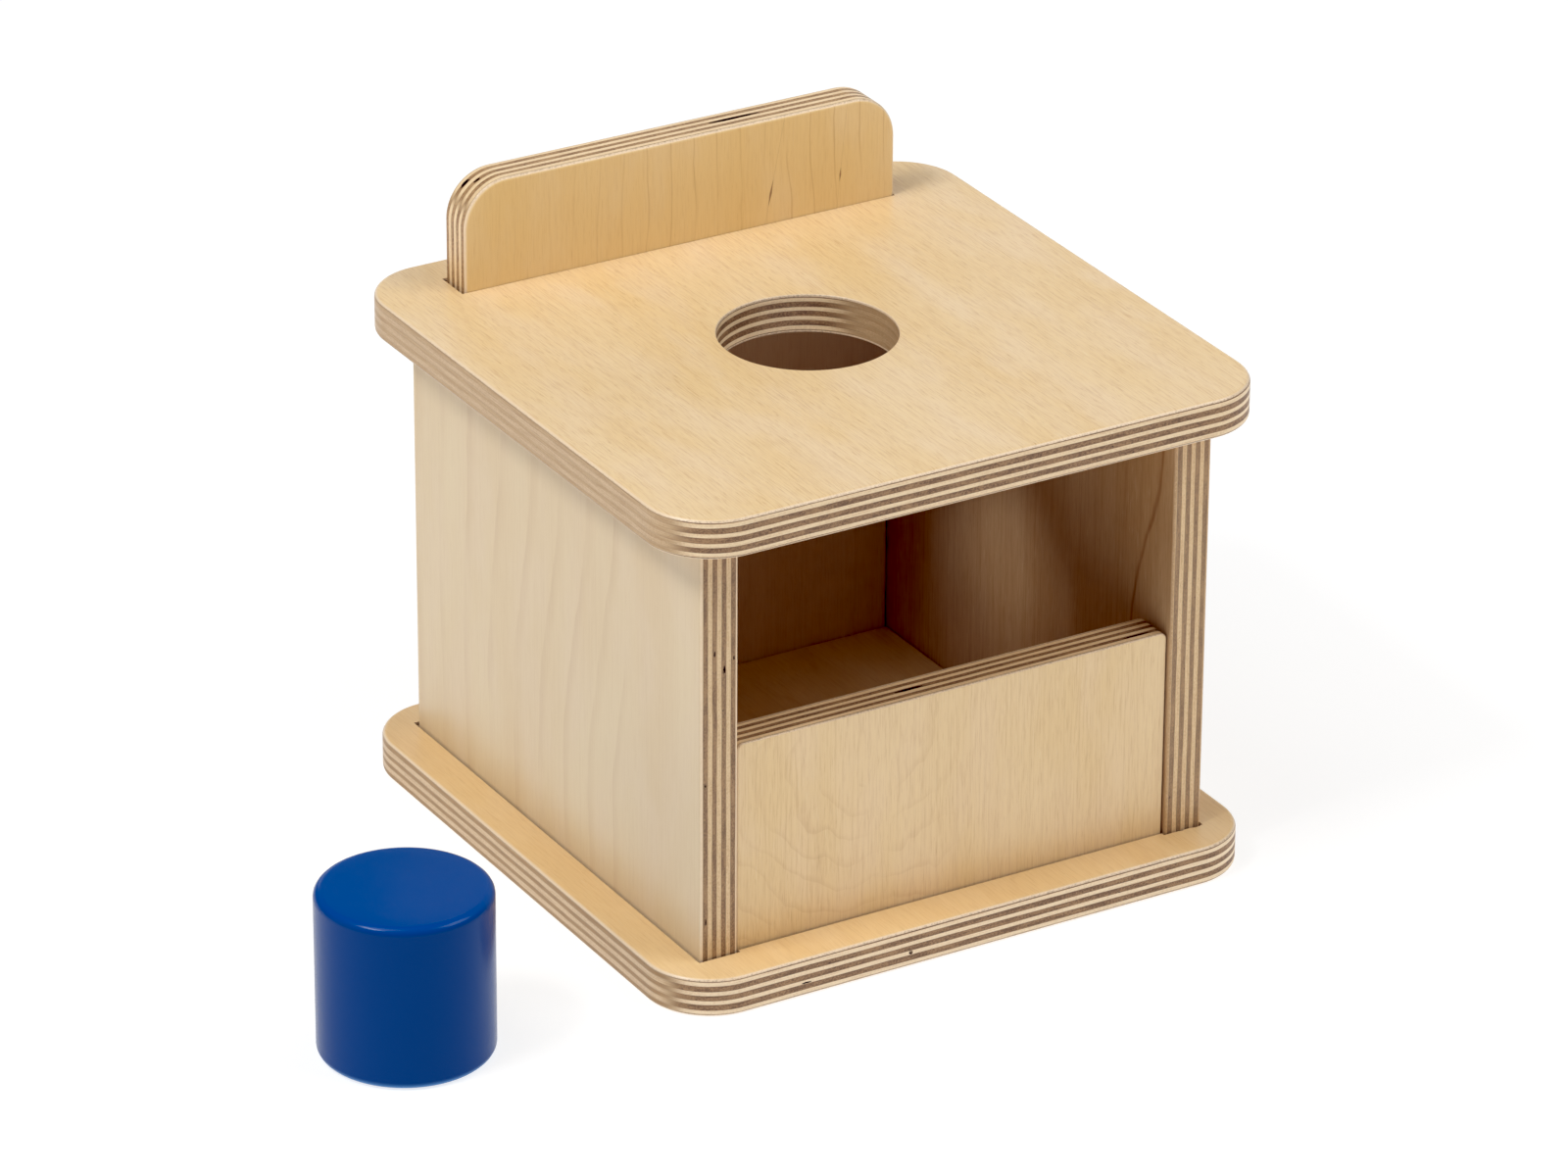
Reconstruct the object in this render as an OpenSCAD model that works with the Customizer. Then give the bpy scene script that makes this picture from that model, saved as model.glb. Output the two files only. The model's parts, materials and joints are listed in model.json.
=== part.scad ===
// Object permanence box: a plywood box with a round drop hole in its top, an open front
// above a low lip, an upright stop board, and a loose lacquered cylinder standing beside it.
// Millimetres. +Z is up, +X to the right seen from the open front, which faces -Y.
// The origin is the centre of the base's underside.

/* [Plywood] */
// Thickness of every board
ply = 12; // [9:0.5:15]
// Roundover along the rims of the base and the top
plate_edge_r = 1.5; // [0.5:0.1:3]
// Easing along the edges of the upright boards
board_edge_r = 0.8; // [0.3:0.1:2]

/* [Box] */
// Width across the outer faces of the two sides
box_w = 165.5; // [120:0.5:240]
// Depth of the sides from their front edges to their back edges
box_d = 167; // [120:0.5:240]
// Clear height between the base and the top
clear_h = 129; // [100:1:200]
// How far the base and the top reach past the sides
overhang = 13; // [8:0.5:30]
// Radius of the corners of the base and the top
plate_corner_r = 20; // [8:0.5:32]

/* [Front lip] */
// Height of the lip above the base
lip_h = 64; // [30:1:95]
// How far the lip stands behind the front edges of the sides
lip_setback = 1.2; // [0:0.1:6]
// Gap between each end of the lip and the side next to it
lip_end_gap = 0.5; // [0.2:0.1:1.5]
// Radius of the lip's upper corners
lip_corner_r = 2; // [1.5:0.1:10]

/* [Stop board] */
// Width of the stop board
stop_w = 143; // [80:0.5:150]
// Height of the stop board above the top
stop_rise = 33; // [18:0.5:80]
// Radius of the stop board's upper corners
stop_corner_r = 14; // [4:0.5:16]
// Gap between each end of the stop board and the end of its slot
slot_end_gap = 0.8; // [0.2:0.1:2]

/* [Grooves and dowels] */
// Depth of the grooves and the slot that the boards are glued into
groove_depth = 4; // [2:0.5:4]
// Play between a board and each wall of its groove
groove_play = 0.1; // [0.05:0.05:0.3]
// How far the base's side grooves run on behind the sides
groove_runout = 1.5; // [0:0.1:4]
// Diameter of the dowels
dowel_d = 6; // [4:0.5:7]
// Play between a dowel and the wall of its hole
dowel_play = 0.1; // [0.05:0.05:0.2]
// Length of a dowel inside the board that it holds
dowel_reach = 16; // [10:1:20]
// Depth of the dowel holes below the lip's groove
dowel_foot = 4; // [2:0.5:4]
// Distance from each end of a doweled board to its first dowel
dowel_inset = 25; // [15:1:35]
// Number of dowels in a doweled board
dowel_count = 3; // [2:1:5]

/* [Hole and cylinder] */
// Diameter of the loose cylinder
cylinder_d = 50; // [30:0.5:80]
// Height of the loose cylinder
cylinder_h = 50; // [30:0.5:90]
// Roundover along the cylinder's two rims
cylinder_edge_r = 2.5; // [0.5:0.1:6]
// Gap all round the cylinder as it drops through the hole
drop_gap = 1; // [0.5:0.1:4]
// Rounding along the hole's two rims
hole_rim_r = 0.5; // [0.2:0.1:2]
// Clear distance between the plates and the standing cylinder
cylinder_aside = 45.5; // [10:0.5:100]
// How far behind the plates' front edge the cylinder's axis stands
cylinder_back = 30; // [10:0.5:100]

/* [Hidden] */
$fn = 96;

// Overlap that lets a cut run clean through a face
cut = 1;

birch = "burlywood";
birch_pale = "wheat";
birch_warm = "tan";
beech = "peru";
lacquer_blue = [0.03, 0.24, 0.52];

plate_w = box_w + 2 * overhang;
plate_d = box_d + 2 * overhang;
base_top = ply;
top_under = base_top + clear_h;
top_face = top_under + ply;

inner_w = box_w - 2 * ply;
side_x = box_w / 2 - ply / 2;
front_y = -box_d / 2;
back_y = box_d / 2;

// The uprights reach into the grooves of both plates
upright_h = clear_h + 2 * groove_depth;
upright_z = base_top - groove_depth;
back_panel_y = back_y - ply / 2;
back_panel_w = inner_w - 2 * groove_play;

lip_w = inner_w - 2 * lip_end_gap;
lip_y = front_y + lip_setback + ply / 2;

slot_floor = top_face - groove_depth;
slot_w = stop_w + 2 * slot_end_gap;
groove_t = ply + 2 * groove_play;

hole_r = cylinder_d / 2 + drop_gap;
dowel_hole_d = dowel_d + 2 * dowel_play;
cylinder_x = -(plate_w / 2 + cylinder_aside + cylinder_d / 2);
cylinder_y = -plate_d / 2 + cylinder_back;

// Places of the dowels along a board of the given width
function dowel_places(w) =
    let (span = w - 2 * dowel_inset, step = span / (dowel_count - 1))
    [for (i = [0 : dowel_count - 1]) -span / 2 + i * step];

// Half of a board's cross-section: flat faces and a rounded outer edge, from the axis outwards
module edge_profile(reach, t, r) {
    square([reach - r, t]);
    translate([0, r]) square([reach, t - 2 * r]);
    for (h = [r, t - r]) translate([reach - r, h]) circle(r);
}

// Straight stretch of rounded edge, running along +Y with its rounded side towards +X
module edge_strip(reach, len, t, r) {
    translate([0, len, 0]) rotate([90, 0, 0]) linear_extrude(len) edge_profile(reach, t, r);
}

// Quarter turn of rounded edge about the Z axis, from +X to +Y
module edge_corner(reach, t, r) {
    rotate_extrude(angle = 90) edge_profile(reach, t, r);
}

// Flat board with four round corners and all rims rounded, centred on the Z axis
module round_plate(w, d, t, corner_r, edge_r) {
    run_x = w - 2 * corner_r;
    run_y = d - 2 * corner_r;
    translate([-run_x / 2, -run_y / 2, 0]) cube([run_x, run_y, t]);
    for (turn = [0, 180]) rotate(turn) {
        translate([run_x / 2, -run_y / 2, 0]) edge_strip(corner_r, run_y, t, edge_r);
        translate([run_x / 2, run_y / 2, 0]) rotate(90) edge_strip(corner_r, run_x, t, edge_r);
        translate([run_x / 2, run_y / 2, 0]) edge_corner(corner_r, t, edge_r);
        translate([-run_x / 2, run_y / 2, 0]) rotate(90) edge_corner(corner_r, t, edge_r);
    }
}

// Board standing on a square foot with round upper corners and eased edges, centred on its thickness
module upright_plate(w, h, t, corner_r, edge_r) {
    run_x = w - 2 * corner_r;
    run_h = h - corner_r;
    translate([0, t / 2, 0]) rotate([90, 0, 0]) {
        translate([-run_x / 2, 0, 0]) cube([run_x, run_h, t]);
        translate([run_x / 2, 0, 0]) edge_strip(corner_r, run_h, t, edge_r);
        mirror([1, 0, 0]) translate([run_x / 2, 0, 0]) edge_strip(corner_r, run_h, t, edge_r);
        translate([run_x / 2, run_h, 0]) rotate(90) edge_strip(corner_r, run_x, t, edge_r);
        translate([run_x / 2, run_h, 0]) edge_corner(corner_r, t, edge_r);
        translate([-run_x / 2, run_h, 0]) rotate(90) edge_corner(corner_r, t, edge_r);
    }
}

// Rectangle with round corners, centred
module round_rect(w, d, r) {
    square([w - 2 * r, d], center = true);
    square([w, d - 2 * r], center = true);
    for (x = [-1, 1], y = [-1, 1]) translate([x * (w / 2 - r), y * (d / 2 - r)]) circle(r);
}

// Groove as seen from above, cut from height z up by the given depth
module groove(x0, x1, y0, y1, z, depth) {
    translate([x0, y0, z]) cube([x1 - x0, y1 - y0, depth]);
}

// Grooves for the two sides and the back panel; runout lengthens the side grooves backwards
module upright_grooves(z, depth, runout) {
    for (s = [-1, 1]) {
        x = s * side_x;
        groove(x - groove_t / 2, x + groove_t / 2, front_y - groove_play, back_y + groove_play + runout,
               z, depth);
    }
    groove(-side_x, side_x, back_panel_y - groove_t / 2, back_panel_y + groove_t / 2, z, depth);
}

// Row of dowel holes or dowels standing on the XY plane
module dowel_row(w, y, d, z, len) {
    for (x = dowel_places(w)) translate([x, y, z]) cylinder(d = d, h = len);
}

module base_plate() {
    color(birch) difference() {
        round_plate(plate_w, plate_d, ply, plate_corner_r, plate_edge_r);
        upright_grooves(upright_z, groove_depth + cut, groove_runout);
        groove(-inner_w / 2 - cut, inner_w / 2 + cut, lip_y - groove_t / 2, lip_y + groove_t / 2,
               upright_z, groove_depth + cut);
        dowel_row(lip_w, lip_y, dowel_hole_d, upright_z - dowel_foot, dowel_foot + cut);
    }
}

// One side board, standing in the grooves of both plates
module side_board(x) {
    translate([x, 0, upright_z]) linear_extrude(upright_h) round_rect(ply, box_d, board_edge_r);
}

module left_side() {
    color(birch_pale) side_board(-side_x);
}

module right_side() {
    color(birch_pale) side_board(side_x);
}

module back_panel() {
    color(birch) difference() {
        translate([0, back_panel_y, upright_z])
            linear_extrude(upright_h) square([back_panel_w, ply], center = true);
        dowel_row(stop_w, back_panel_y, dowel_hole_d, upright_z + upright_h - dowel_reach, dowel_reach + cut);
    }
}

module front_lip() {
    color(birch) difference() {
        translate([0, lip_y, upright_z])
            upright_plate(lip_w, lip_h + groove_depth, ply, lip_corner_r, board_edge_r);
        dowel_row(lip_w, lip_y, dowel_hole_d, upright_z - cut, dowel_reach + cut);
    }
}

module lip_dowels() {
    color(beech) dowel_row(lip_w, lip_y, dowel_d, upright_z - dowel_foot, dowel_foot + dowel_reach);
}

// Ring that, cut away, rounds the hole's upper rim
module rim_cutter() {
    rotate_extrude() translate([hole_r, -hole_rim_r]) difference() {
        translate([-cut, 0]) square([cut + hole_rim_r, hole_rim_r + cut]);
        translate([hole_rim_r, 0]) circle(hole_rim_r);
    }
}

module top_plate() {
    color(birch) difference() {
        translate([0, 0, top_under]) round_plate(plate_w, plate_d, ply, plate_corner_r, plate_edge_r);
        translate([0, 0, top_under - cut]) cylinder(r = hole_r, h = ply + 2 * cut);
        translate([0, 0, top_face]) rim_cutter();
        translate([0, 0, top_under]) mirror([0, 0, 1]) rim_cutter();
        upright_grooves(top_under - cut, groove_depth + cut, 0);
        groove(-slot_w / 2, slot_w / 2, back_panel_y - groove_t / 2, back_panel_y + groove_t / 2,
               slot_floor, groove_depth + cut);
        dowel_row(stop_w, back_panel_y, dowel_hole_d, top_under, ply);
    }
}

module stop_board() {
    color(birch_warm) difference() {
        translate([0, back_panel_y, slot_floor])
            upright_plate(stop_w, stop_rise + groove_depth, ply, stop_corner_r, board_edge_r);
        dowel_row(stop_w, back_panel_y, dowel_hole_d, slot_floor - cut, dowel_reach + cut);
    }
}

// The stop's dowels pass through the top into the upper edge of the back panel
module stop_dowels() {
    foot = upright_z + upright_h - dowel_reach;
    color(beech) dowel_row(stop_w, back_panel_y, dowel_d, foot, slot_floor + dowel_reach - foot);
}

module loose_cylinder() {
    color(lacquer_blue) translate([cylinder_x, cylinder_y, 0])
        rotate_extrude() edge_profile(cylinder_d / 2, cylinder_h, cylinder_edge_r);
}

base_plate();
left_side();
right_side();
back_panel();
front_lip();
lip_dowels();
top_plate();
stop_board();
stop_dowels();
loose_cylinder();  // cylinder
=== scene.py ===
"""Looks of the object permanence box: lacquered birch plywood boards and a turned blue cylinder.

Sizes are millimetres in the frame's axes. A mesh is scaled to metres as it is made.
"""

import json
import math
from typing import NamedTuple

import bmesh
import bpy
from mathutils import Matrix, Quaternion, Vector, noise


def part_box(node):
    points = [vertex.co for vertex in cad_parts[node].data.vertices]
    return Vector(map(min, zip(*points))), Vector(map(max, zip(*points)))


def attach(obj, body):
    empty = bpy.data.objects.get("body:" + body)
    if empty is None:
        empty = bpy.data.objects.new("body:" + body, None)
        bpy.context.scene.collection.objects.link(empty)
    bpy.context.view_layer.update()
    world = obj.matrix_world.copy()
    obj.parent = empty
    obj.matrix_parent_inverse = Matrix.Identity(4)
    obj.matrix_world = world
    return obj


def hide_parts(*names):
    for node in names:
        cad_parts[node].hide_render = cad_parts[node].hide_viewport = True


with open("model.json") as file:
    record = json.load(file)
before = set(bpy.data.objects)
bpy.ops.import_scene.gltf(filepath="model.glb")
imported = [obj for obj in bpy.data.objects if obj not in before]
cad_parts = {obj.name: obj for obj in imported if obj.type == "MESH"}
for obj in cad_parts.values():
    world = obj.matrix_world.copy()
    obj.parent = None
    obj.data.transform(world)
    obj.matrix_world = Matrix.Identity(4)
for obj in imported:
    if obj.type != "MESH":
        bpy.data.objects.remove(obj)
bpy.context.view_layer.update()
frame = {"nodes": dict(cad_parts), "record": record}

MM = 0.001
X, Y, Z = 0, 1, 2

# Edges and corners
PLATE_CORNER = 20.0
PLATE_RIM = 1.5
BOARD_RIM = 0.8
LIP_CORNER = 2.0
LIP_RIM = 0.5
PANEL_RIM = 0.6
STOP_CORNER = 14.0
STOP_RIM = 1.2
HOLE_RIM = 0.5
CYLINDER_RIM = 2.5

# Grooves and dowel holes, with the room round what stands in them
GROOVE_DEPTH = 4.0
GROOVE_PLAY = 0.6
GROOVE_RUNOUT = 1.0
SLOT_PLAY = 0.15
SLOT_END_GAP = 0.9
PANEL_GAP = 0.4
DOWEL_PLAY = 0.1
DOWEL_COUNT = 3

# How far a cutter reaches past the surface, and the raggedness and lumps of a void in a ply
CUT_PAST = 1.0
VOID_RAGGEDNESS = 0.35
VOID_LUMPS = 2.3

# Smoothness of the meshes: steps of their curves, rings in the cylinder's caps, and shading
CORNER_STEPS = 20
RIM_STEPS = 5
ROUND_STEPS = 128
DOWEL_STEPS = 32
CAP_RINGS = (0.02, 0.35, 0.7)
SHARP_ANGLE = math.radians(34)
FACE_WEIGHT = 60


def srgb(red, green, blue):
    """A screen colour from 0 to 255 as the linear colour that shaders take."""
    parts = [value / 255 for value in (red, green, blue)]
    linear = [p / 12.92 if p <= 0.04045 else ((p + 0.055) / 1.055) ** 2.4 for p in parts]
    return (*linear, 1.0)


def node_box(node):
    """Lowest and highest corner of a CAD node in millimetres."""
    low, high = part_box(node)
    return low / MM, high / MM


# Meshes


def mesh_object(name, bm):
    """A scene object of a finished bmesh, scaled from millimetres to metres."""
    bmesh.ops.recalc_face_normals(bm, faces=bm.faces)
    bmesh.ops.scale(bm, vec=Vector((MM, MM, MM)), verts=bm.verts)
    mesh = bpy.data.meshes.new(name)
    bm.to_mesh(mesh)
    bm.free()
    made = bpy.data.objects.new(name, mesh)
    bpy.context.scene.collection.objects.link(made)
    return made


def loft(name, loops):
    """A closed skin over rings of points, each ring with the same count, with a flat cap at both ends."""
    bm = bmesh.new()
    rings = [[bm.verts.new(point) for point in loop] for loop in loops]
    for lower, upper in zip(rings, rings[1:]):
        count = len(lower)
        for i in range(count):
            j = (i + 1) % count
            bm.faces.new((lower[i], lower[j], upper[j], upper[i]))
    bm.faces.new(rings[0])
    bm.faces.new(rings[-1])
    return mesh_object(name, bm)


def corner_arcs(low, high, radii, steps):
    """Points of a rectangle with round corners, each with its outward direction, anticlockwise."""
    corners = ((1, -1, -90), (1, 1, 0), (-1, 1, 90), (-1, -1, 180))
    arcs = []
    for (side_u, side_v, start), radius in zip(corners, radii):
        centre_u = (high[0] if side_u > 0 else low[0]) - side_u * radius
        centre_v = (high[1] if side_v > 0 else low[1]) - side_v * radius
        for step in range(steps + 1):
            angle = math.radians(start + 90 * step / steps)
            out = (math.cos(angle), math.sin(angle))
            arcs.append(((centre_u + radius * out[0], centre_v + radius * out[1]), out))
    return arcs


def quarter_turn():
    """Angles from 0 to a right angle, for the steps of a round rim."""
    return [math.pi / 2 * step / RIM_STEPS for step in range(RIM_STEPS + 1)]


def rim_levels(low, high, rim):
    """(inset, level) pairs that round both rims of an extrusion from low to high."""
    if rim == 0:
        return [(0.0, low), (0.0, high)]
    lower = [(rim * (1 - math.sin(a)), low + rim * (1 - math.cos(a))) for a in quarter_turn()]
    upper = [(inset, high + low - level) for inset, level in reversed(lower)]
    return lower + upper


def rounded_board(name, low, high, axes, radii, rim, steps=CORNER_STEPS):
    """A board between two corners: axes are the outline's two axes and the axis it is extruded along."""
    u, v, w = axes
    arcs = corner_arcs((low[u], low[v]), (high[u], high[v]), radii, steps)
    loops = []
    for inset, level in rim_levels(low[w], high[w], rim):
        loop = []
        for place, out in arcs:
            point = [0.0, 0.0, 0.0]
            point[u] = place[0] - out[0] * inset
            point[v] = place[1] - out[1] * inset
            point[w] = level
            loop.append(point)
        loops.append(loop)
    return loft(name, loops)


def turned(name, profile, centre=(0.0, 0.0), steps=ROUND_STEPS):
    """A solid turned about an upright axis from (radius, level) pairs."""
    turns = [2 * math.pi * i / steps for i in range(steps)]
    loops = []
    for radius, level in profile:
        loop = [(centre[0] + radius * math.cos(a), centre[1] + radius * math.sin(a), level) for a in turns]
        loops.append(loop)
    return loft(name, loops)


def settle(made):
    """Makes the object's modifiers part of its mesh."""
    depsgraph = bpy.context.evaluated_depsgraph_get()
    old = made.data
    mesh = bpy.data.meshes.new_from_object(made.evaluated_get(depsgraph))
    made.modifiers.clear()
    made.data = mesh
    bpy.data.meshes.remove(old)


def cut(board, cutter):
    """Takes the cutter's shape out of the board and removes the cutter."""
    modifier = board.modifiers.new("cut", "BOOLEAN")
    modifier.operation = "DIFFERENCE"
    modifier.solver = "EXACT"
    modifier.object = cutter
    settle(board)
    shape = cutter.data
    bpy.data.objects.remove(cutter)
    bpy.data.meshes.remove(shape)


def groove(board, low, high, open_side):
    """Routs a groove between two corners that opens up (1) or down (-1)."""
    past = (0.0, 0.0, open_side * CUT_PAST)
    low = [min(edge, edge + more) for edge, more in zip(low, past)]
    high = [max(edge, edge + more) for edge, more in zip(high, past)]
    outline = ((low[0], low[1]), (high[0], low[1]), (high[0], high[1]), (low[0], high[1]))
    cut(board, loft("groove", [[(x, y, level) for x, y in outline] for level in (low[2], high[2])]))


def pocket(board, centre, half_sizes, seed):
    """Leaves a ragged void in the board's edge, as where an inner veneer has a gap."""
    bm = bmesh.new()
    bmesh.ops.create_icosphere(bm, subdivisions=3, radius=1.0)
    for vert in bm.verts:
        ragged = 1 + VOID_RAGGEDNESS * noise.noise(vert.co * VOID_LUMPS + Vector((seed, 0, 0)))
        spread = [vert.co[axis] * ragged * half_sizes[axis] for axis in range(3)]
        vert.co = Vector(centre) + Vector(spread)
    cut(board, mesh_object("pocket", bm))


def shade(made):
    """Smooth shading that stays flat on wide faces and sharp at real edges."""
    for polygon in made.data.polygons:
        polygon.use_smooth = True
    made.data.set_sharp_from_angle(angle=SHARP_ANGLE)
    weighted = made.modifiers.new("weighted_normals", "WEIGHTED_NORMAL")
    weighted.keep_sharp = True
    weighted.weight = FACE_WEIGHT


# Materials


class Pattern(NamedTuple):
    """Soft noise: features per millimetre on three axes, and the values where it starts and is full."""

    scales: tuple
    start: float = 0.0
    end: float = 1.0
    detail: float = 2.0
    roughness: float = 0.5


# Noise in plywood, with features along the face grain, across it and into the board
BROAD_TONE = Pattern((0.011, 0.034, 0.0), start=0.3, end=0.7)
CLOUDS = Pattern((0.03, 0.07, 0.0), start=0.4, end=0.7, detail=3.0)
LINE_SWAY = Pattern((0.024, 0.036, 0.0), detail=3.0)
LINE_PATCHES = Pattern((0.02, 0.04, 0.0), start=0.3, end=0.6)
COMB = Pattern((0.016, 1.2, 0.0), start=0.42, end=0.72)
FIBRES = Pattern((0.13, 2.2, 0.0), start=0.45, end=0.75, detail=3.0, roughness=0.6)
FLECKS = Pattern((0.22, 3.0, 0.0), start=0.66, end=0.76, detail=1.0)
GLINTS = Pattern((0.16, 2.6, 0.0), start=0.6, end=0.8, detail=1.0)
PLY_WANDER = Pattern((0.03, 0.03, 0.3))
EDGE_STREAKS = Pattern((0.1, 0.1, 4.5))
EDGE_GRIT = Pattern((1.5, 1.5, 2.2), start=0.3, end=0.6, detail=3.0, roughness=0.7)
EDGE_MOTTLE = Pattern((0.13, 0.13, 0.7), detail=3.0)
GLUE_BREAKS = Pattern((0.08, 0.08, 0.5), start=0.35, end=0.6)
EDGE_CHECKS = Pattern((0.5, 0.5, 1.1), start=0.7, end=0.76)

# Noise in the other finishes
LACQUER_PEEL = Pattern((0.25, 0.25, 0.25), detail=0.0)
BEECH_FIBRES = Pattern((1.6, 1.6, 0.1), start=0.35, end=0.7, detail=3.0)
BEECH_RAYS = Pattern((2.4, 2.4, 0.5), start=0.66, end=0.74, detail=1.0)

# Step between the seeds of two boards, and how far a seed's noise lies from the last one's
SEED_STEP = 11
SEED_SHIFT = (7.3, 3.1, 5.7)

# Layers of the plywood, how far they wander up and down, and how soft their borders are
FACE_PLY = 0.9
INNER_PLIES = 7
WANDER_REACH = 0.25
PLY_SOFTNESS = 0.15

# Where a growth line is darkest, as a share of the way to the next one
LINE_PEAK = 0.96

# Glue lines: how far from its middle a line ends and is full, and how strong it is
INNER_GLUE = (0.14, 0.04)
INNER_GLUE_STRENGTH = 0.4
FIRST_GLUE = (0.2, 0.06)
FIRST_GLUE_STRENGTH = 0.35

# Marks in a face: the depth where they end and are full, their soft edge by their width, their strength
MARK_DEPTH = (0.3, 0.2)
MARK_EDGE = (-0.15, 0.2)
MARK_STRENGTH = 0.75

# How squarely a surface faces out of its board where an edge, a pale rim and the painted shade in a hollow
# start and are full
ON_EDGE = (0.93, 0.6)
ON_RIM = (0.95, 0.78)
HOLLOW_SHADE_FACING = (0.3, 0.7)

# The depth where the painted shade in a hollow starts and is full, the depth that the pale rim fades over,
# and how its wear and painted highlight vary
HOLLOW_SHADE_DEPTH = (0.5, 0.8)
RIM_FADE = 0.2
RIM_WEAR_AND_HIGHLIGHT = (0.45, 0.85)

# How squarely an edge faces across or along the face grain where end grain and haze start and are full
CROSSED_ENDS = (0.75, 0.98)
ODD_ENDS = (0.25, 0.6)
HAZY_EDGE = (0.6, 0.98)

# Tones at an edge: the first noise's share in them, and where the second colour starts and is full
STREAK_IN_LONG = 0.5
LONG_TONE = (0.42, 0.66)
GRIT_IN_END = 0.6
END_TONE = (0.38, 0.62)
STREAK_IN_HAZE = 0.55
HAZE_TONE = (0.36, 0.64)

# How steeply a surface faces up or down where the lacquer's painted light starts and is full: lighter on the
# top, and a painted floor reflection round the foot
LACQUER_LIT_TOP = (0.1, 0.9)
LACQUER_FOOT_REFLECTION = (0.0, -0.6)

# Gloss of each finish
FINISH_IOR = 1.5
FACE_ROUGHNESS = (0.3, 0.42)
EDGE_ROUGHNESS = 0.4
END_GRAIN_ROUGHER = 0.12
RIM_SMOOTHER = 0.06
COAT_WEIGHT = 0.12
COAT_ROUGHNESS = 0.22
LACQUER_ROUGHNESS = (0.21, 0.25)
LACQUER_SPECULAR = 0.18
BEECH_ROUGHNESS = (0.5, 0.7)

# Depth of the relief in each finish, and how grit and end grain count in the plywood's
PLYWOOD_RELIEF = 0.025
LACQUER_RELIEF = 0.0015
BEECH_RELIEF = 0.03
GRIT_HEIGHT = 1.4
END_GRAIN_DEPTH = 0.8


class Graph:
    """Adds shader nodes to one new material and joins them."""

    def __init__(self, name):
        self.material = bpy.data.materials.new(name)
        self.material.use_nodes = True
        self.tree = self.material.node_tree
        self.tree.nodes.clear()

    def add(self, kind, inputs, **settings):
        made = self.tree.nodes.new(kind)
        for key, value in settings.items():
            setattr(made, key, value)
        for key, value in inputs.items():
            if isinstance(value, bpy.types.NodeSocket):
                self.tree.links.new(value, made.inputs[key])
            else:
                made.inputs[key].default_value = value
        return made

    def math(self, operation, a, b=0.0):
        return self.add("ShaderNodeMath", {0: a, 1: b}, operation=operation).outputs[0]

    def plus(self, a, b):
        return self.math("ADD", a, b)

    def minus(self, a, b):
        return self.math("SUBTRACT", a, b)

    def times(self, a, b):
        return self.math("MULTIPLY", a, b)

    def blend(self, a, b, share):
        """The sum of a by its share and b by the rest."""
        return self.plus(self.times(a, share), self.times(b, 1 - share))

    def mix(self, factor, a, b):
        """Colour a turned into colour b."""
        inputs = {0: factor, 6: a, 7: b}
        return self.add("ShaderNodeMix", inputs, data_type="RGBA").outputs[2]

    def tint(self, factor, a, b):
        """Colour a darkened by colour b."""
        inputs = {0: factor, 6: a, 7: b}
        return self.add("ShaderNodeMix", inputs, data_type="RGBA", blend_type="MULTIPLY").outputs[2]

    def smooth(self, value, start, end):
        """0 before start, 1 after end and a soft step between. It falls where end is under start."""
        inputs = {"Value": value, "From Min": start, "From Max": end}
        return self.add("ShaderNodeMapRange", inputs, interpolation_type="SMOOTHSTEP").outputs["Result"]

    def span(self, value, low, high):
        """A value from 0 to 1 spread from low to high."""
        inputs = {"Value": value, "To Min": low, "To Max": high}
        return self.add("ShaderNodeMapRange", inputs).outputs["Result"]

    def split(self, vector):
        return list(self.add("ShaderNodeSeparateXYZ", {0: vector}).outputs)

    def join(self, parts):
        return self.add("ShaderNodeCombineXYZ", dict(enumerate(parts))).outputs[0]

    def where(self):
        """The surface point in millimetres and the way it faces, both in the piece's own axes."""
        spot = self.add("ShaderNodeTexCoord", {})
        inputs = {0: spot.outputs["Object"], "Scale": 1 / MM}
        place = self.add("ShaderNodeVectorMath", inputs, operation="SCALE").outputs[0]
        return place, spot.outputs["Normal"]

    def noise(self, vector, pattern, seed):
        """A pattern's noise from 0 to 1."""
        shift = [seed * step for step in SEED_SHIFT]
        inputs = {0: vector, 1: pattern.scales, 2: shift}
        place = self.add("ShaderNodeVectorMath", inputs, operation="MULTIPLY_ADD").outputs[0]
        inputs = {"Vector": place, "Scale": 1.0, "Detail": pattern.detail, "Roughness": pattern.roughness}
        return self.add("ShaderNodeTexNoise", inputs).outputs[0]

    def shown(self, vector, pattern, seed):
        """How far a pattern shows: 0 where its noise is under its start and 1 where it is over its end."""
        return self.smooth(self.noise(vector, pattern, seed), pattern.start, pattern.end)

    def finish(self, colour, roughness, height, relief, **constants):
        """Ends in one shader with a relief in millimetres. Constants go on the shader's own sockets."""
        bump = self.add("ShaderNodeBump", {"Height": height, "Strength": 1.0, "Distance": relief * MM})
        inputs = {"Base Color": colour, "Roughness": roughness, "Normal": bump.outputs[0], **constants}
        shader = self.add("ShaderNodeBsdfPrincipled", inputs)
        self.add("ShaderNodeOutputMaterial", {"Surface": shader.outputs[0]})
        return self.material


class Board:
    """Where a plywood surface point lies in its board: along the face grain, across it and how deep."""

    def __init__(self, graph, node, grain, depth):
        across = ({X, Y, Z} - {grain, depth}).pop()
        place, normal = graph.where()
        spots = graph.split(place)
        facing = [graph.math("ABSOLUTE", part) for part in graph.split(normal)]
        low, high = node_box(node)
        thickness = high[depth] - low[depth]
        self.inner_ply = (thickness - 2 * FACE_PLY) / INNER_PLIES
        self.along = spots[grain]
        self.across = spots[across]
        self.depth = graph.minus(spots[depth], low[depth])
        self.under_face = graph.math("MINIMUM", self.depth, graph.minus(thickness, self.depth))
        self.place = graph.join((self.along, self.across, self.depth))
        self.faces_along = facing[grain]
        self.faces_across = facing[across]
        self.faces_out = facing[depth]


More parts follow.
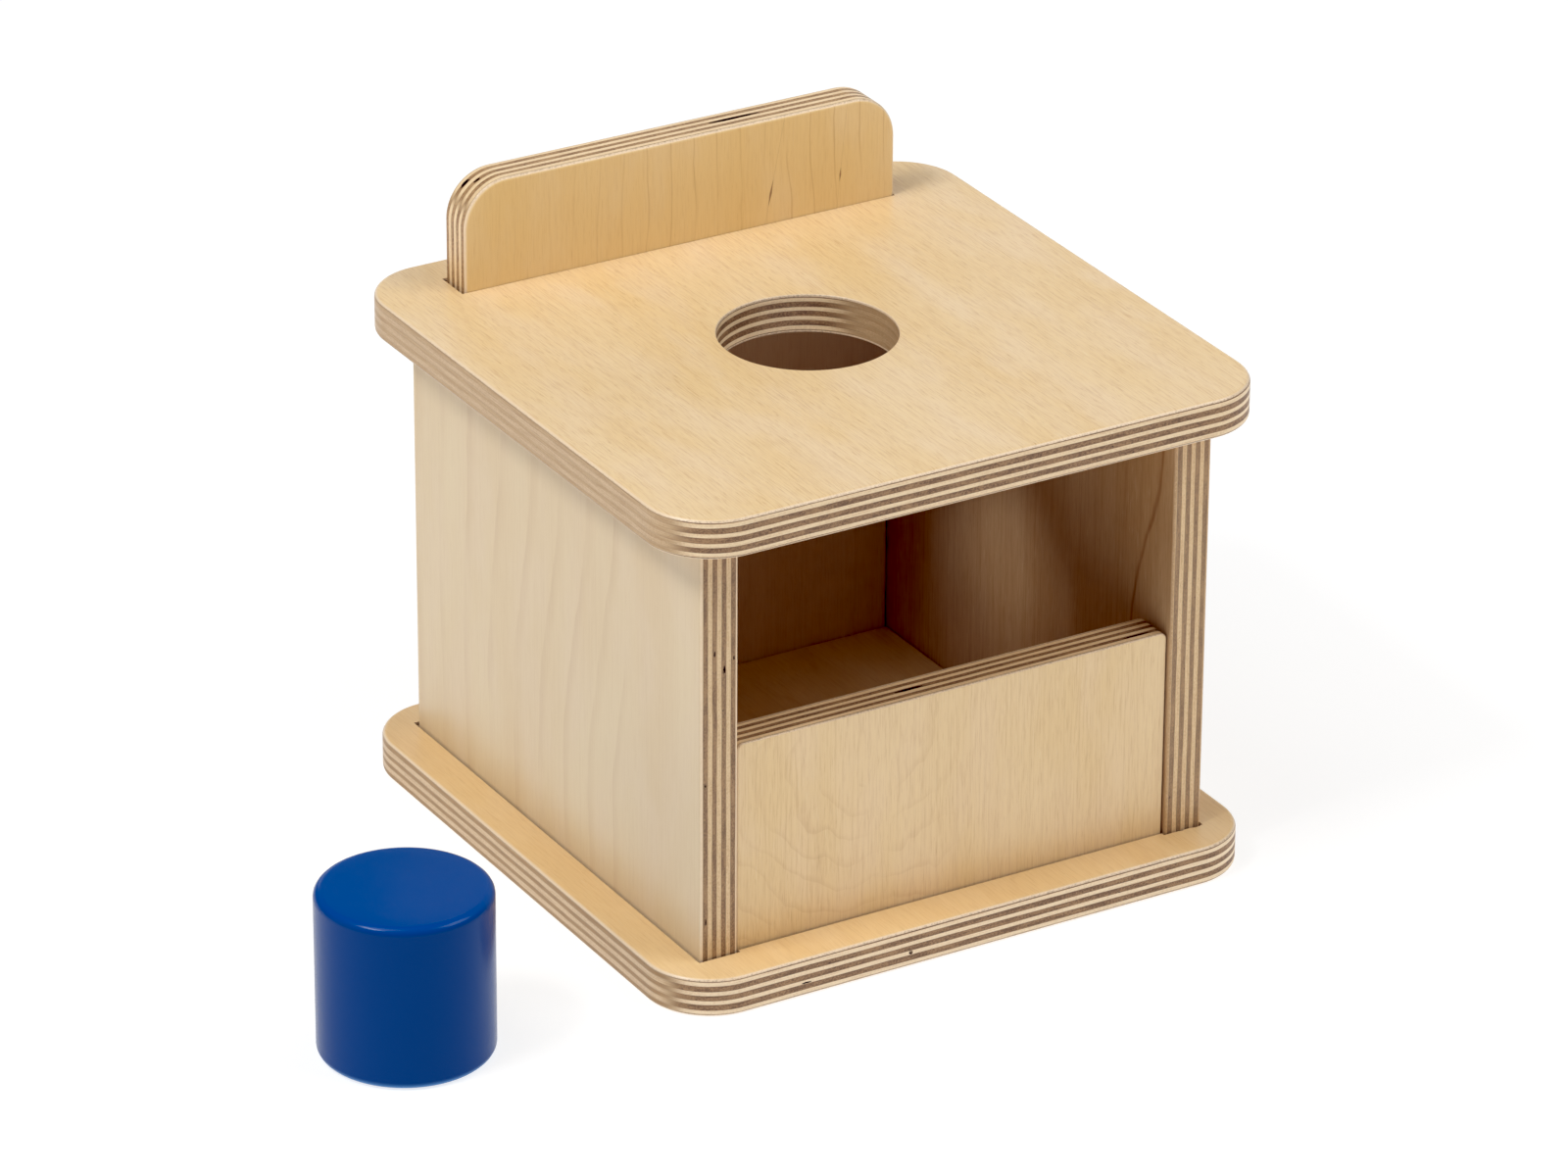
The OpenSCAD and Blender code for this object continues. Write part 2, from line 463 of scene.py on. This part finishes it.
def flames(spacing, offset=0.0, drift=0.0, rise=(0.0, 1.0), spread=(0.0, 0.0)):
    """Face figure of lines along the grain, one of them at offset.

    They lean over by drift between two levels. The lean is full at the spread's first place across the
    board and dies away at its second.
    """

    def field(graph, board):
        lean = graph.times(graph.smooth(board.along, *rise), drift)
        if spread[0] != spread[1]:
            lean = graph.times(lean, graph.smooth(board.across, spread[1], spread[0]))
        return graph.times(graph.minus(graph.minus(board.across, offset), lean), 1 / spacing)

    return field


def arches(spacing, across, along, heart):
    """Face figure of nested arches about a point, plain within the heart's radius."""

    def field(graph, board):
        side = graph.minus(board.across, across)
        rise = graph.minus(board.along, along)
        reach = graph.math("SQRT", graph.plus(graph.times(side, side), graph.times(rise, rise)))
        return graph.times(graph.math("MAXIMUM", reach, heart), 1 / spacing)

    return field


def growth_lines(graph, board, look, seed):
    """Late wood lines of the face figure: they come on softly from the onset and end sharply."""
    sway = graph.minus(graph.noise(board.place, LINE_SWAY, seed), 0.5)
    shift = graph.times(sway, look["warp"])
    ring = graph.math("FRACT", graph.plus(graph.plus(look["figure"](graph, board), LINE_PEAK), shift))
    late = graph.times(graph.smooth(ring, look["onset"], LINE_PEAK), graph.smooth(ring, 1.0, LINE_PEAK))
    patchy = graph.shown(board.place, LINE_PATCHES, seed + 1)
    strength = graph.times(graph.times(late, patchy), look["lines"])
    if look["zone"]:
        strength = graph.times(strength, graph.smooth(board.across, *look["zone"]))
    return strength


def face_colour(graph, board, look, seed):
    """Rotary cut veneer: broad tone, growth lines, long and short fibres, dark flecks and pale glints.

    Returns the colour and the fibres.
    """
    broad = graph.shown(board.place, BROAD_TONE, seed)
    colour = graph.mix(broad, look["pale"], look["tan"])
    cloud = graph.shown(board.place, CLOUDS, seed + 1)
    colour = graph.mix(graph.times(cloud, look["cloud"]), colour, look["blush"])
    colour = graph.tint(growth_lines(graph, board, look, seed + 2), colour, look["line"])
    comb = graph.shown(board.place, COMB, seed + 4)
    colour = graph.tint(graph.times(comb, look["comb"]), colour, look["line"])
    fibre = graph.noise(board.place, FIBRES, seed + 5)
    dark_fibre = graph.smooth(fibre, FIBRES.start, FIBRES.end)
    colour = graph.tint(graph.times(dark_fibre, look["fibre"]), colour, look["line"])
    fleck = graph.shown(board.place, FLECKS, seed + 6)
    colour = graph.tint(graph.times(fleck, look["fleck"]), colour, look["line"])
    glint = graph.shown(board.place, GLINTS, seed + 7)
    return graph.mix(graph.times(glint, look["fibre"]), colour, look["glint"]), fibre


def streak_mark(graph, board, across, along, length, width, lean):
    """A short dark mineral streak in the face veneer, thick in the middle and pointed at its ends."""
    rise = graph.minus(board.along, along)
    part = graph.math("ABSOLUTE", graph.times(rise, 2 / length))
    side = graph.minus(graph.minus(board.across, across), graph.times(rise, lean))
    taper = graph.times(graph.math("MAXIMUM", graph.minus(1.0, part), 0.0), width / 2)
    inside = graph.minus(taper, graph.math("ABSOLUTE", side))
    soft_edge = [width * share for share in MARK_EDGE]
    return graph.times(graph.smooth(inside, *soft_edge), MARK_STRENGTH)


def end_grain_share(graph, board, layer, look):
    """1 where an edge shows a ply's end grain and 0 where it shows its long grain."""
    wave = graph.math("SINE", graph.times(layer, math.pi))
    odd = graph.smooth(wave, look["long_plies"] + PLY_SOFTNESS, look["long_plies"] - PLY_SOFTNESS)
    crossed = graph.minus(1.0, odd)
    crossed_ends = graph.times(crossed, graph.smooth(board.faces_across, *CROSSED_ENDS))
    odd_ends = graph.times(odd, graph.smooth(board.faces_along, *ODD_ENDS))
    return graph.plus(crossed_ends, odd_ends)


def glue_lines(graph, board, layer, seed):
    """Glue between the plies: broken lines inside the board and a whole one under each face veneer."""
    share = graph.math("FRACT", layer)
    to_glue = graph.times(graph.math("MINIMUM", share, graph.minus(1.0, share)), board.inner_ply)
    broken = graph.shown(board.place, GLUE_BREAKS, seed)
    inner = graph.times(graph.times(graph.smooth(to_glue, *INNER_GLUE), broken), INNER_GLUE_STRENGTH)
    to_first = graph.math("ABSOLUTE", graph.minus(board.under_face, FACE_PLY))
    first = graph.times(graph.smooth(to_first, *FIRST_GLUE), FIRST_GLUE_STRENGTH)
    return graph.math("MAXIMUM", inner, first)


def edge_colour(graph, board, look, grit, seed):
    """Plies at an edge: long grain and end grain by turns, hazy on edges that lie along the face grain.

    Returns the colour and where there is end grain.
    """
    wander = graph.span(graph.noise(board.place, PLY_WANDER, seed), -WANDER_REACH, WANDER_REACH)
    level = graph.plus(board.depth, wander)
    layer = graph.times(graph.minus(level, FACE_PLY), 1 / board.inner_ply)
    end_grain = end_grain_share(graph, board, layer, look)

    streak = graph.noise(board.place, EDGE_STREAKS, seed + 1)
    long_tone = graph.smooth(graph.blend(streak, grit, STREAK_IN_LONG), *LONG_TONE)
    long_edge = graph.mix(long_tone, look["edge_pale"], look["edge_mid"])
    mottle = graph.noise(board.place, EDGE_MOTTLE, seed + 3)
    end_tone = graph.smooth(graph.blend(grit, mottle, GRIT_IN_END), *END_TONE)
    end_edge = graph.mix(end_tone, look["end_dark"], look["end_pale"])
    colour = graph.mix(end_grain, long_edge, end_edge)
    haze = graph.times(graph.smooth(board.faces_across, *HAZY_EDGE), look["haze"])
    haze_tone = graph.smooth(graph.blend(streak, grit, STREAK_IN_HAZE), *HAZE_TONE)
    colour = graph.mix(haze, colour, graph.mix(haze_tone, look["haze_pale"], look["haze_mid"]))

    colour = graph.mix(glue_lines(graph, board, layer, seed + 4), colour, look["glue"])
    check = graph.times(graph.shown(board.place, EDGE_CHECKS, seed + 5), end_grain)
    gap = graph.times(check, graph.minus(1.0, haze))
    return graph.mix(gap, colour, look["void"]), end_grain


def plywood(name, node, grain, depth, look, seed):
    """Lacquered plywood: veneer on its faces, plies on its edges, and pale rims between them that are worn
    face veneer with a painted highlight. Hollows get painted shade.
    """
    graph = Graph(name)
    board = Board(graph, node, grain, depth)
    face, fibre = face_colour(graph, board, look, seed)
    grit = graph.noise(board.place, EDGE_GRIT, seed + 12)
    edge, end_grain = edge_colour(graph, board, look, grit, seed + 10)

    on_edge = graph.smooth(board.faces_out, *ON_EDGE)
    colour = graph.mix(on_edge, face, edge)
    # Painted shade: surfaces deep in the board that face out, the floors of pockets and grooves, take the
    # dark void colour
    shaded_hollow_facing = graph.smooth(board.faces_out, *HOLLOW_SHADE_FACING)
    painted_hollow_shade = graph.times(graph.smooth(board.under_face, *HOLLOW_SHADE_DEPTH), shaded_hollow_facing)
    colour = graph.mix(painted_hollow_shade, colour, look["void"])
    # Pale rim: worn face veneer, and partly a painted highlight on the rounded edge
    in_face_ply = graph.smooth(board.under_face, FACE_PLY, FACE_PLY - RIM_FADE)
    rim = graph.times(in_face_ply, graph.smooth(board.faces_out, *ON_RIM))
    rim_wear_and_highlight = graph.span(graph.smooth(grit, EDGE_GRIT.start, EDGE_GRIT.end), *RIM_WEAR_AND_HIGHLIGHT)
    colour = graph.mix(graph.times(rim, rim_wear_and_highlight), colour, look["rim"])
    in_front = graph.smooth(board.depth, *MARK_DEPTH)
    for mark in look["marks"]:
        shown = graph.times(streak_mark(graph, board, **mark), in_front)
        colour = graph.mix(shown, colour, look["mark"])

    flat = graph.minus(1.0, on_edge)
    face_gloss = graph.times(graph.span(fibre, *FACE_ROUGHNESS), flat)
    edge_roughness = graph.plus(graph.times(end_grain, END_GRAIN_ROUGHER), EDGE_ROUGHNESS)
    edge_gloss = graph.times(edge_roughness, on_edge)
    roughness = graph.minus(graph.plus(face_gloss, edge_gloss), graph.times(rim, RIM_SMOOTHER))
    edge_height = graph.minus(graph.times(grit, GRIT_HEIGHT), graph.times(end_grain, END_GRAIN_DEPTH))
    height = graph.plus(graph.times(fibre, flat), graph.times(edge_height, on_edge))
    coat = {"IOR": FINISH_IOR, "Coat Weight": COAT_WEIGHT, "Coat Roughness": COAT_ROUGHNESS}
    return graph.finish(colour, roughness, height, PLYWOOD_RELIEF, **coat)


def lacquer(name, top, side, painted_floor_reflection):
    """Sprayed colour lacquer with painted light: lighter on the top where light falls, a painted floor
    reflection round the foot's rim, and a faint orange peel.
    """
    graph = Graph(name)
    place, normal = graph.where()
    rise = graph.split(normal)[Z]
    # Painted light: the top is made lighter, and the foot's rim takes a painted floor reflection
    tone = graph.mix(graph.smooth(rise, *LACQUER_LIT_TOP), side, top)
    tone = graph.mix(graph.smooth(rise, *LACQUER_FOOT_REFLECTION), tone, painted_floor_reflection)
    peel = graph.noise(place, LACQUER_PEEL, seed=3)
    roughness = graph.span(peel, *LACQUER_ROUGHNESS)
    shine = {"IOR": FINISH_IOR, "Specular IOR Level": LACQUER_SPECULAR}
    return graph.finish(tone, roughness, peel, LACQUER_RELIEF, **shine)


def beech(name, pale, dark, rays):
    """Plain beech with its short dark rays."""
    graph = Graph(name)
    place, _ = graph.where()
    fibre = graph.noise(place, BEECH_FIBRES, seed=1)
    tone = graph.mix(graph.smooth(fibre, BEECH_FIBRES.start, BEECH_FIBRES.end), pale, dark)
    tone = graph.mix(graph.shown(place, BEECH_RAYS, seed=2), tone, rays)
    roughness = graph.span(fibre, *BEECH_ROUGHNESS)
    return graph.finish(tone, roughness, fibre, BEECH_RELIEF, IOR=FINISH_IOR)


def veneer(**changes):
    """The look of one board's veneer and plies: the usual birch with some changes.

    Numbers are strengths, apart from the onset and warp of the growth lines and the long plies' width.
    The figure draws the growth lines, and the zone is where they start and are full across the board.
    """
    look = {
        "pale": srgb(234, 208, 164),
        "tan": srgb(230, 200, 148),
        "blush": srgb(236, 210, 174),
        "line": srgb(190, 150, 100),
        "glint": srgb(246, 228, 192),
        # Rim colour: worn pale face veneer with a painted highlight
        "rim": srgb(246, 222, 190),
        "cloud": 0.6,
        "lines": 0.06,
        "onset": 0.88,
        "warp": 1.6,
        "zone": None,
        "comb": 0.06,
        "fibre": 0.13,
        "fleck": 0.14,
        "figure": flames(20.0),
        "edge_pale": srgb(232, 204, 162),
        "edge_mid": srgb(206, 172, 128),
        "end_pale": srgb(170, 134, 94),
        "end_dark": srgb(116, 86, 57),
        "long_plies": 0.0,
        "haze": 0.0,
        "haze_pale": srgb(202, 172, 132),
        "haze_mid": srgb(180, 146, 104),
        "glue": srgb(126, 92, 62),
        # Void colour: painted shade in pockets and groove floors, also the dark of small checks in the end
        # grain
        "void": srgb(70, 46, 28),
        "mark": srgb(126, 70, 34),
        "marks": (),
    }
    look.update(changes)
    return look


# Pieces


def finished(node):
    """Name of the piece that stands for a CAD node."""
    return f"{node}_finished"


def dress(piece, node, body, material):
    """Gives a piece its shading and material, and lets it stand for its CAD node."""
    piece.data.materials.clear()
    piece.data.materials.append(material)
    shade(piece)
    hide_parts(node)
    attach(piece, body)


def dowel_places(node):
    """Centres of a row of dowels, their radius and their lower and upper level, from the row's box."""
    low, high = node_box(node)
    radius = (high[1] - low[1]) / 2
    first, last = low[0] + radius, high[0] - radius
    spots = [first + (last - first) * i / (DOWEL_COUNT - 1) for i in range(DOWEL_COUNT)]
    return [(x, low[1] + radius) for x in spots], radius, low[2], high[2]


def bore_dowels(board, node):
    """Drills a row of dowel holes through the part of the board that the dowels pass."""
    places, radius, low, high = dowel_places(node)
    for place in places:
        wall = radius + DOWEL_PLAY
        cut(board, turned("dowel_hole", [(wall, low), (wall, high)], place, DOWEL_STEPS))


def rout_for(plate, plate_node, node, open_side, play=GROOVE_PLAY, runout=0.0, left_gap=0.0):
    """Routs the groove in a plate that an upright board stands in, with some play round the board."""
    low, high = node_box(node)
    plate_low, plate_high = node_box(plate_node)
    surface = plate_high[2] if open_side > 0 else plate_low[2]
    floor = surface - open_side * GROOVE_DEPTH
    start = (low[0] - play - left_gap, low[1] - play, min(surface, floor))
    end = (high[0] + play, high[1] + play + runout, max(surface, floor))
    groove(plate, start, end, open_side)


def make_plate(node):
    low, high = node_box(node)
    return rounded_board(finished(node), low, high, (X, Y, Z), (PLATE_CORNER,) * 4, PLATE_RIM)


def make_base():
    base = make_plate("base_plate")
    for side in ("left_side", "right_side"):
        rout_for(base, "base_plate", side, 1, runout=GROOVE_RUNOUT)
    for board in ("back_panel", "front_lip"):
        rout_for(base, "base_plate", board, 1)
    bore_dowels(base, "lip_dowels")
    return base


def make_top():
    top = make_plate("top_plate")
    low, high = node_box("top_plate")
    for board in ("left_side", "right_side", "back_panel"):
        rout_for(top, "top_plate", board, -1)
    rout_for(top, "top_plate", "stop_board", 1, play=SLOT_PLAY, left_gap=SLOT_END_GAP)
    bore_dowels(top, "stop_dowels")
    mount = next(m for m in frame["record"]["mounts"] if m["name"] == "drop_hole")
    wall = mount["dims"]["r_mm"]
    flare = [(HOLE_RIM * (1 - math.cos(a)), HOLE_RIM * (1 - math.sin(a))) for a in quarter_turn()]
    profile = [(wall + HOLE_RIM, low[2] - CUT_PAST)]
    profile += [(wall + grow, low[2] + drop) for grow, drop in reversed(flare)]
    profile += [(wall + grow, high[2] - drop) for grow, drop in flare]
    profile += [(wall + HOLE_RIM, high[2] + CUT_PAST)]
    cut(top, turned("drop_hole", profile))
    return top


def make_side(node):
    low, high = node_box(node)
    return rounded_board(finished(node), low, high, (X, Y, Z), (BOARD_RIM,) * 4, 0, steps=RIM_STEPS)


def make_panel():
    low, high = node_box("back_panel")
    low.x += PANEL_GAP
    high.x -= PANEL_GAP
    name = finished("back_panel")
    panel = rounded_board(name, low, high, (X, Y, Z), (PANEL_RIM,) * 4, 0, steps=RIM_STEPS)
    bore_dowels(panel, "stop_dowels")
    return panel


def make_upright(node, corner, rim, dowels):
    """A board that stands across the box, with its two upper corners rounded."""
    low, high = node_box(node)
    board = rounded_board(finished(node), low, high, (X, Z, Y), (rim, corner, corner, rim), rim)
    bore_dowels(board, dowels)
    return board


def make_cylinder():
    low, high = node_box("cylinder")
    radius = (high[0] - low[0]) / 2
    centre = ((low[0] + high[0]) / 2, (low[1] + high[1]) / 2)
    rings = [radius * share for share in CAP_RINGS]
    rounding = rim_levels(low[2], high[2], CYLINDER_RIM)
    profile = [(ring, low[2]) for ring in rings]
    profile += [(radius - inset, level) for inset, level in rounding]
    profile += [(ring, high[2]) for ring in reversed(rings)]
    return turned(finished("cylinder"), profile, centre)


# Voids where a ply comes out at an edge, and two chips in the base by the right side: centre and half sizes
EDGE_VOIDS = {
    "stop_board": (
        ((20.0, 77.5, 186.0), (8.5, 0.65, 3.0)),
        ((-66.5, 80.5, 182.7), (1.8, 0.7, 1.8)),
        ((-64.0, 77.5, 184.0), (1.2, 0.5, 1.2)),
    ),
    "front_lip": (
        ((-11.8, -76.4, 76.0), (4.8, 0.6, 3.0)),
        ((62.0, -79.4, 76.0), (4.5, 0.4, 1.5)),
    ),
    "left_side": (
        ((-75.2, -83.5, 101.0), (0.4, 0.7, 1.3)),
        ((-81.2, -83.5, 66.5), (0.3, 0.4, 0.6)),
        ((-78.3, -83.5, 106.5), (0.3, 0.4, 0.9)),
        ((-81.0, -83.5, 24.0), (0.25, 0.4, 1.2)),
        ((-72.2, -83.5, 104.0), (0.3, 0.4, 0.7)),
    ),
    "base_plate": (
        ((-56.0, -96.5, 4.3), (1.6, 0.5, 0.25)),
        ((-22.0, -96.5, 4.6), (0.6, 0.8, 0.6)),
        ((76.0, -83.9, 12.0), (1.0, 0.5, 0.6)),
        ((81.0, -83.9, 12.0), (1.8, 0.6, 0.8)),
    ),
}

# Each board: its piece, the axes of its face grain and of its thickness, and its look
boards = {
    "base_plate": (
        make_base(),
        Y,
        Z,
        veneer(
            pale=srgb(240, 206, 151),
            tan=srgb(234, 198, 142),
            blush=srgb(241, 209, 159),
            fibre=0.15,
            edge_pale=srgb(252, 228, 192),
            edge_mid=srgb(234, 203, 164),
            long_plies=0.25,
            haze=0.58,
            haze_pale=srgb(191, 156, 108),
            haze_mid=srgb(169, 130, 81),
        ),
    ),
    "top_plate": (
        make_top(),
        Y,
        Z,
        veneer(
            pale=srgb(242, 214, 168),
            tan=srgb(239, 207, 153),
            blush=srgb(243, 217, 179),
            comb=0.1,
            fibre=0.31,
            fleck=0.31,
            edge_pale=srgb(248, 222, 182),
            edge_mid=srgb(228, 196, 154),
            long_plies=0.25,
            haze=0.9,
        ),
    ),
    "left_side": (
        make_side("left_side"),
        Z,
        X,
        veneer(
            # Paler, greyer veneer: its own tone, and partly a painted sheen where the left light falls on the
            # lacquer
            pale=srgb(223, 202, 165),
            tan=srgb(219, 195, 156),
            blush=srgb(223, 201, 168),
            line=srgb(205, 172, 136),
            figure=flames(14.5, offset=9.5, drift=-15.0, rise=(40.0, 130.0), spread=(-10.0, 75.0)),
            zone=(-48.0, -34.0),
            lines=0.15,
            onset=0.62,
            warp=0.4,
            comb=0.05,
            fibre=0.07,
            fleck=0.06,
            edge_pale=srgb(238, 208, 163),
            edge_mid=srgb(212, 176, 129),
            haze=0.15,
        ),
    ),
    "right_side": (
        make_side("right_side"),
        Z,
        X,
        veneer(
            pale=srgb(213, 183, 145),
            tan=srgb(197, 161, 117),
            blush=srgb(206, 174, 132),
            rim=srgb(196, 158, 112),
            figure=flames(36.0, offset=-64.0, drift=-13.0, rise=(68.0, 138.0)),
            zone=(-42.0, -54.0),
            lines=0.7,
            onset=0.93,
            warp=0.25,
            comb=0.2,
            fibre=0.25,
            edge_pale=srgb(246, 214, 166),
            edge_mid=srgb(222, 184, 134),
            haze=0.3,
        ),
    ),
    "back_panel": (
        make_panel(),
        Z,
        Y,
        veneer(pale=srgb(229, 200, 164), tan=srgb(221, 188, 148), blush=srgb(225, 194, 156)),
    ),
    "front_lip": (
        make_upright("front_lip", LIP_CORNER, LIP_RIM, "lip_dowels"),
        Z,
        Y,
        veneer(
            pale=srgb(240, 211, 164),
            tan=srgb(236, 205, 153),
            blush=srgb(240, 211, 169),
            edge_pale=srgb(250, 222, 180),
            edge_mid=srgb(230, 198, 152),
            figure=arches(9.0, -25.0, 66.0, 14.0),
            zone=(8.0, -12.0),
            lines=0.13,
            onset=0.7,
            warp=3.2,
            comb=0.1,
            fibre=0.21,
        ),
    ),
    "stop_board": (
        make_upright("stop_board", STOP_CORNER, STOP_RIM, "stop_dowels"),
        Z,
        Y,
        veneer(
            pale=srgb(243, 210, 150),
            tan=srgb(240, 205, 141),
            blush=srgb(243, 212, 158),
            figure=flames(8.0, offset=28.0),
            zone=(-70.0, 20.0),
            cloud=0.9,
            lines=0.3,
            onset=0.9,
            warp=0.7,
            comb=0.03,
            fibre=0.11,
            edge_pale=srgb(248, 220, 176),
            edge_mid=srgb(228, 196, 150),
            end_pale=srgb(190, 152, 106),
            end_dark=srgb(140, 104, 66),
            marks=(
                {"across": 29.5, "along": 162.5, "length": 9.0, "width": 0.8, "lean": 0.2},
                {"across": 53.0, "along": 163.5, "length": 5.0, "width": 0.6, "lean": 0.1},
            ),
        ),
    ),
}
for node, places in EDGE_VOIDS.items():
    for seed, (centre, half_sizes) in enumerate(places):
        pocket(boards[node][0], centre, half_sizes, seed)
for seed, (node, (piece, grain, depth, look)) in enumerate(boards.items(), start=1):
    wood = plywood(f"{node}_plywood", node, grain, depth, look, seed * SEED_STEP)
    dress(piece, node, "box", wood)

# The top colour is painted light and the foot colour a painted floor reflection; the side colour is the
# lacquer's own blue
blue = lacquer("blue_lacquer", top=srgb(0, 74, 150), side=srgb(22, 66, 130), painted_floor_reflection=srgb(60, 120, 180))
dress(make_cylinder(), "cylinder", "cylinder", blue)

dowel_wood = beech("dowel_beech", pale=srgb(214, 176, 132), dark=srgb(188, 146, 102), rays=srgb(140, 98, 62))
for node in ("lip_dowels", "stop_dowels"):
    frame["nodes"][node].data.materials.clear()
    frame["nodes"][node].data.materials.append(dowel_wood)


# Stage, light and camera

FLOOR_SIZE = 14000.0
FLOOR_TONE = 0.36
FLOOR_GLOW = 0.74
FLOOR_ROUGHNESS = 0.9
SKY_STRENGTH = 0.22
BLACK_POINT = (0.021, 0.02, 0.0105)
LIGHT_AIM = Vector((0, 0, 80))
CAMERA_AIM = Vector((22.9, 51.4, 44.7))
CAMERA_DISTANCE = 2400.0
CAMERA_AZIMUTH = -30.44
CAMERA_ELEVATION = 26.12
CAMERA_ROLL = 0.32
CAMERA_LENS = 186.64
CAMERA_REACH = 50000.0


def toward(azimuth, elevation):
    """Unit direction from the object out to an azimuth (0 in front, 90 at the right) and an elevation."""
    turn, rise = math.radians(azimuth), math.radians(elevation)
    return Vector((math.sin(turn) * math.cos(rise), -math.cos(turn) * math.cos(rise), math.sin(rise)))


def soft_light(name, azimuth, elevation, distance, width, height, power):
    """A rectangular studio light that faces the object, with its power in watts."""
    light = bpy.data.lights.new(name, "AREA")
    light.shape = "RECTANGLE"
    light.size = width * MM
    light.size_y = height * MM
    light.energy = power
    lamp = bpy.data.objects.new(name, light)
    back = toward(azimuth, elevation)
    lamp.location = (LIGHT_AIM + back * distance) * MM
    lamp.rotation_mode = "QUATERNION"
    lamp.rotation_quaternion = (-back).to_track_quat("-Z", "Y")
    bpy.context.scene.collection.objects.link(lamp)


def make_floor():
    half = FLOOR_SIZE / 2
    bm = bmesh.new()
    corners = [(-half, -half), (half, -half), (half, half), (-half, half)]
    bm.faces.new([bm.verts.new((x, y, 0.0)) for x, y in corners])
    floor = mesh_object("floor", bm)
    paper = bpy.data.materials.new("floor_paper")
    paper.use_nodes = True
    shader = paper.node_tree.nodes["Principled BSDF"]
    shader.inputs["Base Color"].default_value = (FLOOR_TONE, FLOOR_TONE, FLOOR_TONE, 1)
    shader.inputs["Roughness"].default_value = FLOOR_ROUGHNESS
    shader.inputs["Specular IOR Level"].default_value = 0.0
    shader.inputs["Emission Color"].default_value = (1, 1, 1, 1)
    shader.inputs["Emission Strength"].default_value = FLOOR_GLOW
    floor.data.materials.append(paper)


def make_world():
    world = bpy.data.worlds.new("studio")
    bpy.context.scene.world = world
    world.use_nodes = True
    backdrop = world.node_tree.nodes["Background"]
    backdrop.inputs["Color"].default_value = (1, 1, 1, 1)
    backdrop.inputs["Strength"].default_value = SKY_STRENGTH


def set_film():
    """Plain display colours with a photograph's deep blacks."""
    film = bpy.context.scene.view_settings
    film.view_transform = "Standard"
    film.use_curve_mapping = True
    film.curve_mapping.black_level = BLACK_POINT
    film.curve_mapping.update()


def make_camera():
    lens = bpy.data.cameras.new("camera")
    lens.lens = CAMERA_LENS
    lens.clip_end = CAMERA_REACH * MM
    camera = bpy.data.objects.new("camera", lens)
    back = toward(CAMERA_AZIMUTH, CAMERA_ELEVATION)
    roll = Quaternion((0, 0, 1), math.radians(CAMERA_ROLL))
    camera.location = (CAMERA_AIM + back * CAMERA_DISTANCE) * MM
    camera.rotation_mode = "QUATERNION"
    camera.rotation_quaternion = (-back).to_track_quat("-Z", "Y") @ roll
    bpy.context.scene.collection.objects.link(camera)
    bpy.context.scene.camera = camera


make_floor()
make_world()
soft_light("key_light", azimuth=-85, elevation=52, distance=2200, width=700, height=380, power=19)
soft_light("high_light", azimuth=-85, elevation=68, distance=2200, width=1100, height=900, power=9)
soft_light("left_fill", azimuth=-100, elevation=16, distance=2200, width=1600, height=900, power=2)
soft_light("front_light", azimuth=48, elevation=47, distance=2200, width=1200, height=1000, power=17.5)
soft_light("back_light", azimuth=150, elevation=15, distance=2600, width=2400, height=500, power=5.5)
make_camera()
set_film()
